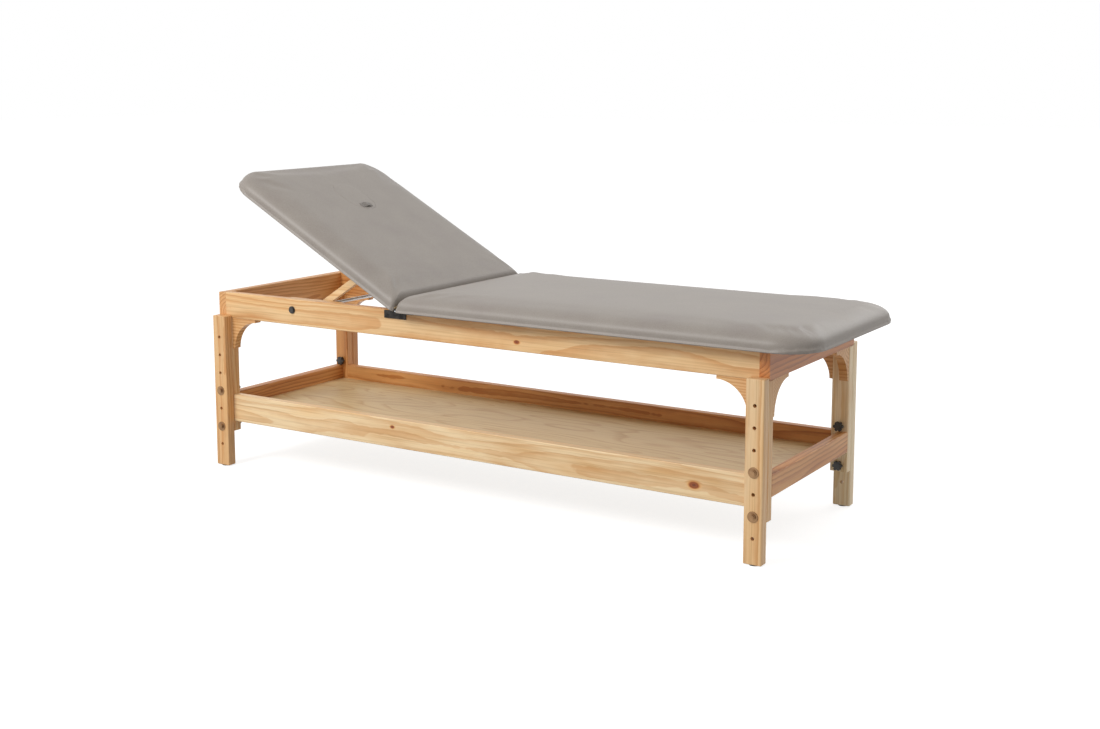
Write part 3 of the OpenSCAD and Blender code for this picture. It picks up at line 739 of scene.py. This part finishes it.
off_axle = bed_low.x - axle.x
lift = rise + 0.0003
past_pad = 0.01
back_length, back_corner, face_from = 0.706 - off_axle, 0.085, 0.490
opening = (0.150, 0.110)
back = pad("back_upholstery", back_length, back_corner, 0.028)
hollow = oval(*opening) + (face_from - off_axle, 0)
cutter = stacked([(hollow, -past_pad), (hollow, thick + 2 * past_pad)])
bored(back, [shape("cutter", *cutter, vinyl)], 50)
flip = on_back @ Matrix.Translation((-off_axle, 0, lift)) @ Matrix.Diagonal((-1, 1, 1, 1))
back.data.transform(flip)
back.data.flip_normals()
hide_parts("back_cushion")
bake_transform(back)


# Hems of the two covers: leathercloth folded under each board and stapled along its edge, stopping
# short of the hinges.
def hem(length, far, rested):
    """A flat closed strip under a board between the pad's outline drawn in by two distances, the
    inner one wavy as hand cut, its lower face creased; it is pressed thin where the board comes
    to rest on the rails. Gives the two outlines and the thickness too."""
    clear, rails, fold, cut, thin = 0.068, 0.289, 0.007, 0.033, 0.0002
    outer = rim(rectangle(length, far, board_corner, fold, fold, 0))
    inner = rim(rectangle(length, far, board_corner, cut, cut, 0))
    keep = outer[:, 0] > clear
    outer, inner = outer[keep], inner[keep]
    walk = np.arange(len(outer))
    wave = 0.12 + 0.06 * np.sin(walk * 0.9) + 0.05 * np.sin(walk * 0.37)
    inner = inner + (outer - inner) * wave[:, None]
    cloth = 0.0009 + 0.0003 * (1 + np.sin(walk * 1.7))
    cloth = np.where(rested & (abs(inner[:, 1]) < rails), thin, cloth)
    rings = [
        np.column_stack([outer, 0 * cloth]),
        np.column_stack([outer, -cloth]),
        np.column_stack([inner, -0.9 * cloth]),
        np.column_stack([inner, 0 * cloth]),
    ]
    index = np.arange(4 * len(outer)).reshape(4, -1)
    around = np.roll(index, -1, 0)
    sides = np.stack([index[:, :-1], around[:, :-1], around[:, 1:], index[:, 1:]], 2)
    faces = [*sides.reshape(-1, 4), index[::-1, 0], index[:, -1]]
    return np.concatenate(rings), faces, outer, inner, cloth


def staples(outer, inner, cloth):
    """A staple's crown every 42 mm along the middle of a hem, except where it is pressed thin: a
    low half-round bar with its ends drawn in."""
    spacing, wire, crown, sunk = 0.042, 0.0006, 0.005, 0.0012
    path = outer * 0.55 + inner * 0.45
    walked = np.concatenate([[0], np.cumsum(np.linalg.norm(np.diff(path, axis=0), axis=1))])
    stops = np.arange(0.02, walked[-1], spacing)
    stops = stops[np.interp(stops, walked, cloth) > 0.0008]
    at, ahead = (
        np.column_stack([np.interp(stops + step, walked, path[:, k]) for k in (0, 1)])
        for step in (0, 0.002)
    )
    angle = np.arctan2(*(ahead - at).T[::-1]) + 0.12 * np.sin(stops * 70)
    turn = np.linspace(0, np.pi, 5)
    y, z = wire * np.cos(turn), -0.0002 - wire * np.sin(turn)
    ends = ((-crown, 0.3), (wire - crown, 1.0), (crown - wire, 1.0), (crown, 0.3))
    bar = [np.column_stack([np.full(5, x), y * size, z * size - sunk]) for x, size in ends]
    index = np.arange(20).reshape(4, 5)
    around = np.roll(index, -1, 1)
    sides = np.stack([index[:-1], index[1:], around[1:], around[:-1]], 2).reshape(-1, 4)
    spots = [Matrix.Translation((*p, 0)) @ Matrix.Rotation(a, 4, "Z") for p, a in zip(at, angle)]
    return repeated(np.concatenate(bar), [*sides, index[0], index[-1][::-1]], spots)


for name, place, length, far, body in (
    ("bed", on_bed, bed_length, bed_corner, "frame"),
    ("back", flip, back_length, back_corner, "backrest"),
):
    points, faces, *edges = hem(length, far, place is flip)
    strip = shape(name + "_cover_hem", points, faces, vinyl)
    fixings = shape(name + "_cover_staples", *staples(*edges), zinc)
    for piece, slot in ((strip, "grey_vinyl"), (fixings, "zinc_steel")):
        piece.data.transform(place)
        if place is flip:
            piece.data.flip_normals()
        piece.data.set_sharp_from_angle(angle=math.radians(40))
        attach(piece, body)


# Face plug: a firm foam plug in the same leathercloth on its plywood disc, a push fit in the
# opening, level with the cushion, with a pull tab sewn to it.
def plug_skin(length, breadth, low, high):
    """Closed skin over an oval: its outline shrinks towards the middle line over the flat top and
    bottom, and follows a small quarter circle at the top edge, where the cloth is drawn tight."""
    soft = 0.0012
    outline = oval(length, breadth)
    reach = (length - breadth) / 2
    spine = np.column_stack([np.clip(outline[:, 0], -reach, reach), 0 * outline[:, 0]])
    turn = np.linspace(0, np.pi / 2, 6)
    flat = [0.22, 0.4, 0.6, 0.8, 0.96]
    insets = [0.9, 0.3, 0, 0, *(soft / (breadth / 2) * (1 - np.cos(turn))), *flat]
    heights = [low, low, low, (low + high) / 2, *(high - soft + soft * np.sin(turn))]
    heights += [high] * len(flat)
    return stacked([(outline + (spine - outline) * i, z) for i, z in zip(insets, heights)])


slack = 0.0003
crest = thick + lift
skin = plug_skin(opening[0] - 2 * slack, opening[1] - 2 * slack, board + lift + slack, crest)
plug = shape("face_plug_upholstery", *skin, vinyl)
on_plug = on_back @ Matrix.Translation((-face_from, 0, 0))
plug.data.transform(on_plug)
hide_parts("face_plug_cushion")
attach(plug, "face_plug")


# Pull tab: doubled polyester webbing, sewn through the plug's cover at both ends and bowed up
# between them, so that a finger can lift the plug out.
def tab_skin(length, breadth, cloth, bow):
    """A closed strip along y: its middle rises as a cosine, its ends lie flat and are rounded in
    plan, and a top and a bottom sheet are joined round the edge."""
    count, rows = 33, 9
    run, side = np.linspace(-1, 1, count), np.linspace(-1, 1, rows)
    rising = bow * (1 + np.cos(np.pi * np.clip(run / 0.68, -1, 1))) / 2
    taper = 1 - 0.45 * np.clip((abs(run) - 0.86) / 0.14, 0, 1) ** 2
    x = np.outer(taper, side) * breadth / 2
    y = np.outer(run * length / 2, np.ones(rows))
    pillow = cloth * (1 - 0.3 * np.outer(np.ones(count), side**4))
    sheets = [np.dstack([x, y, rising[:, None] + pillow * level]) for level in (1, 0)]
    index = np.arange(count * rows).reshape(count, rows)
    quads = np.stack([index[:-1, :-1], index[1:, :-1], index[1:, 1:], index[:-1, 1:]], axis=2)
    quads = quads.reshape(-1, 4)
    border = rim(index[..., None])[:, 0]
    low = border + index.size
    edges = np.stack([border, low, np.roll(low, -1), np.roll(border, -1)], axis=1)
    return np.concatenate(sheets).reshape(-1, 3), [*quads, *(quads[:, ::-1] + index.size), *edges]


def webbing(name, colour):
    """Woven polyester tape: a wave stands for its ribs of 1.5 mm, as tone and as bump."""
    rib = 0.0015
    made, tree = material(name)
    at = add(tree, "ShaderNodeTexCoord", out="Object")
    ribs = add(
        tree,
        "ShaderNodeTexWave",
        {"Vector": at, "Scale": math.pi / 10 / rib},
        "Fac",
        bands_direction="Y",
    )
    relief = add(tree, "ShaderNodeBump", {"Height": ribs, "Strength": 0.5, "Distance": 0.0004})
    stops = [(0.0, colour), (1.0, "#867f78")]
    shader = add(
        tree,
        "ShaderNodeBsdfPrincipled",
        {
            "Base Color": add(tree, "ShaderNodeValToRGB", {"Fac": ribs}, stops=stops),
            "Roughness": 0.8,
            "Normal": relief,
            "Sheen Weight": 0.2,
        },
    )
    add(tree, "ShaderNodeOutputMaterial", {"Surface": shader})
    return made


tape = webbing("polyester_webbing", "#6f6862")
tab_low, tab_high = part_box("face_plug_tab")
tab_width, tape_thick, tab_bow, tab_along, tab_gap = 0.022, 0.0014, 0.004, 0.052, 0.0001
skin = tab_skin(tab_high.y - tab_low.y, tab_width, tape_thick, tab_bow)
tab = shape("face_plug_pull_tab", *skin, tape)
tab.data.transform(on_plug @ Matrix.Translation((tab_along, 0, crest + tab_gap)))
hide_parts("face_plug_tab")
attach(tab, "face_plug")


# Studio: a white floor and a white surround, with one soft lamp to the front and a weaker, larger
# one opposite, so that the table stands in plain light on a faint shadow.
def seen(tree):
    """1 for rays that show the stage itself, in the camera, in gloss or through glass; else 0."""
    rays = add(tree, "ShaderNodeLightPath").node.outputs
    shown = rays["Is Camera Ray"]
    for kind in ("Is Glossy Ray", "Is Transmission Ray"):
        shown = add(tree, "ShaderNodeMath", {0: shown, 1: rays[kind]}, operation="MAXIMUM")
    return shown


made, tree = material("white_floor")
glow = add(tree, "ShaderNodeMath", {0: seen(tree), 1: 0.80}, operation="MULTIPLY")
paint = add(tree, "ShaderNodeBsdfDiffuse", {"Color": linear("#b8b8b8")})
light = add(tree, "ShaderNodeEmission", {"Strength": glow})
both = add(tree, "ShaderNodeAddShader", {0: paint, 1: light})
add(tree, "ShaderNodeOutputMaterial", {"Surface": both})
spread = 30.0 * np.array([(-1, -1, 0), (1, -1, 0), (1, 1, 0), (-1, 1, 0)])
floor = shape("floor", spread, [(0, 1, 2, 3)], made, False)

world = bpy.data.worlds.new("studio")
bpy.context.scene.world = world
world.use_nodes = True
tree = world.node_tree
tree.nodes.clear()
level = add(tree, "ShaderNodeMapRange", {"Value": seen(tree), "To Min": 0.48, "To Max": 1.0})
sky = add(tree, "ShaderNodeBackground", {"Color": linear("#ffffff"), "Strength": level})
add(tree, "ShaderNodeOutputWorld", {"Surface": sky})


def soft_box(name, place, size, power):
    """A square area lamp that faces the middle of the table."""
    data = bpy.data.lights.new(name, "AREA")
    data.size, data.energy = size, power
    made = bpy.data.objects.new(name, data)
    bpy.context.scene.collection.objects.link(made)
    made.location = place
    made.rotation_euler = (Vector((0, 0, 0.5)) - Vector(place)).to_track_quat("-Z", "Y").to_euler()


soft_box("key", (-1.6, -3.8, 3.4), 1.8, 145)
soft_box("fill", (1.5, 3.8, 3.0), 3.0, 60)

look_down, look_round = 7.835, 32.046
view = bpy.data.cameras.new("camera")
view.sensor_width, view.lens, view.shift_y = 36.0, 48.35, -0.08
camera = bpy.data.objects.new("camera", view)
bpy.context.scene.collection.objects.link(camera)
camera.location = (2.2835, -3.5729, 1.2103)
camera.rotation_euler = (math.radians(90 - look_down), 0, math.radians(look_round))
bpy.context.scene.camera = camera
bpy.context.scene.view_settings.view_transform = "Standard"
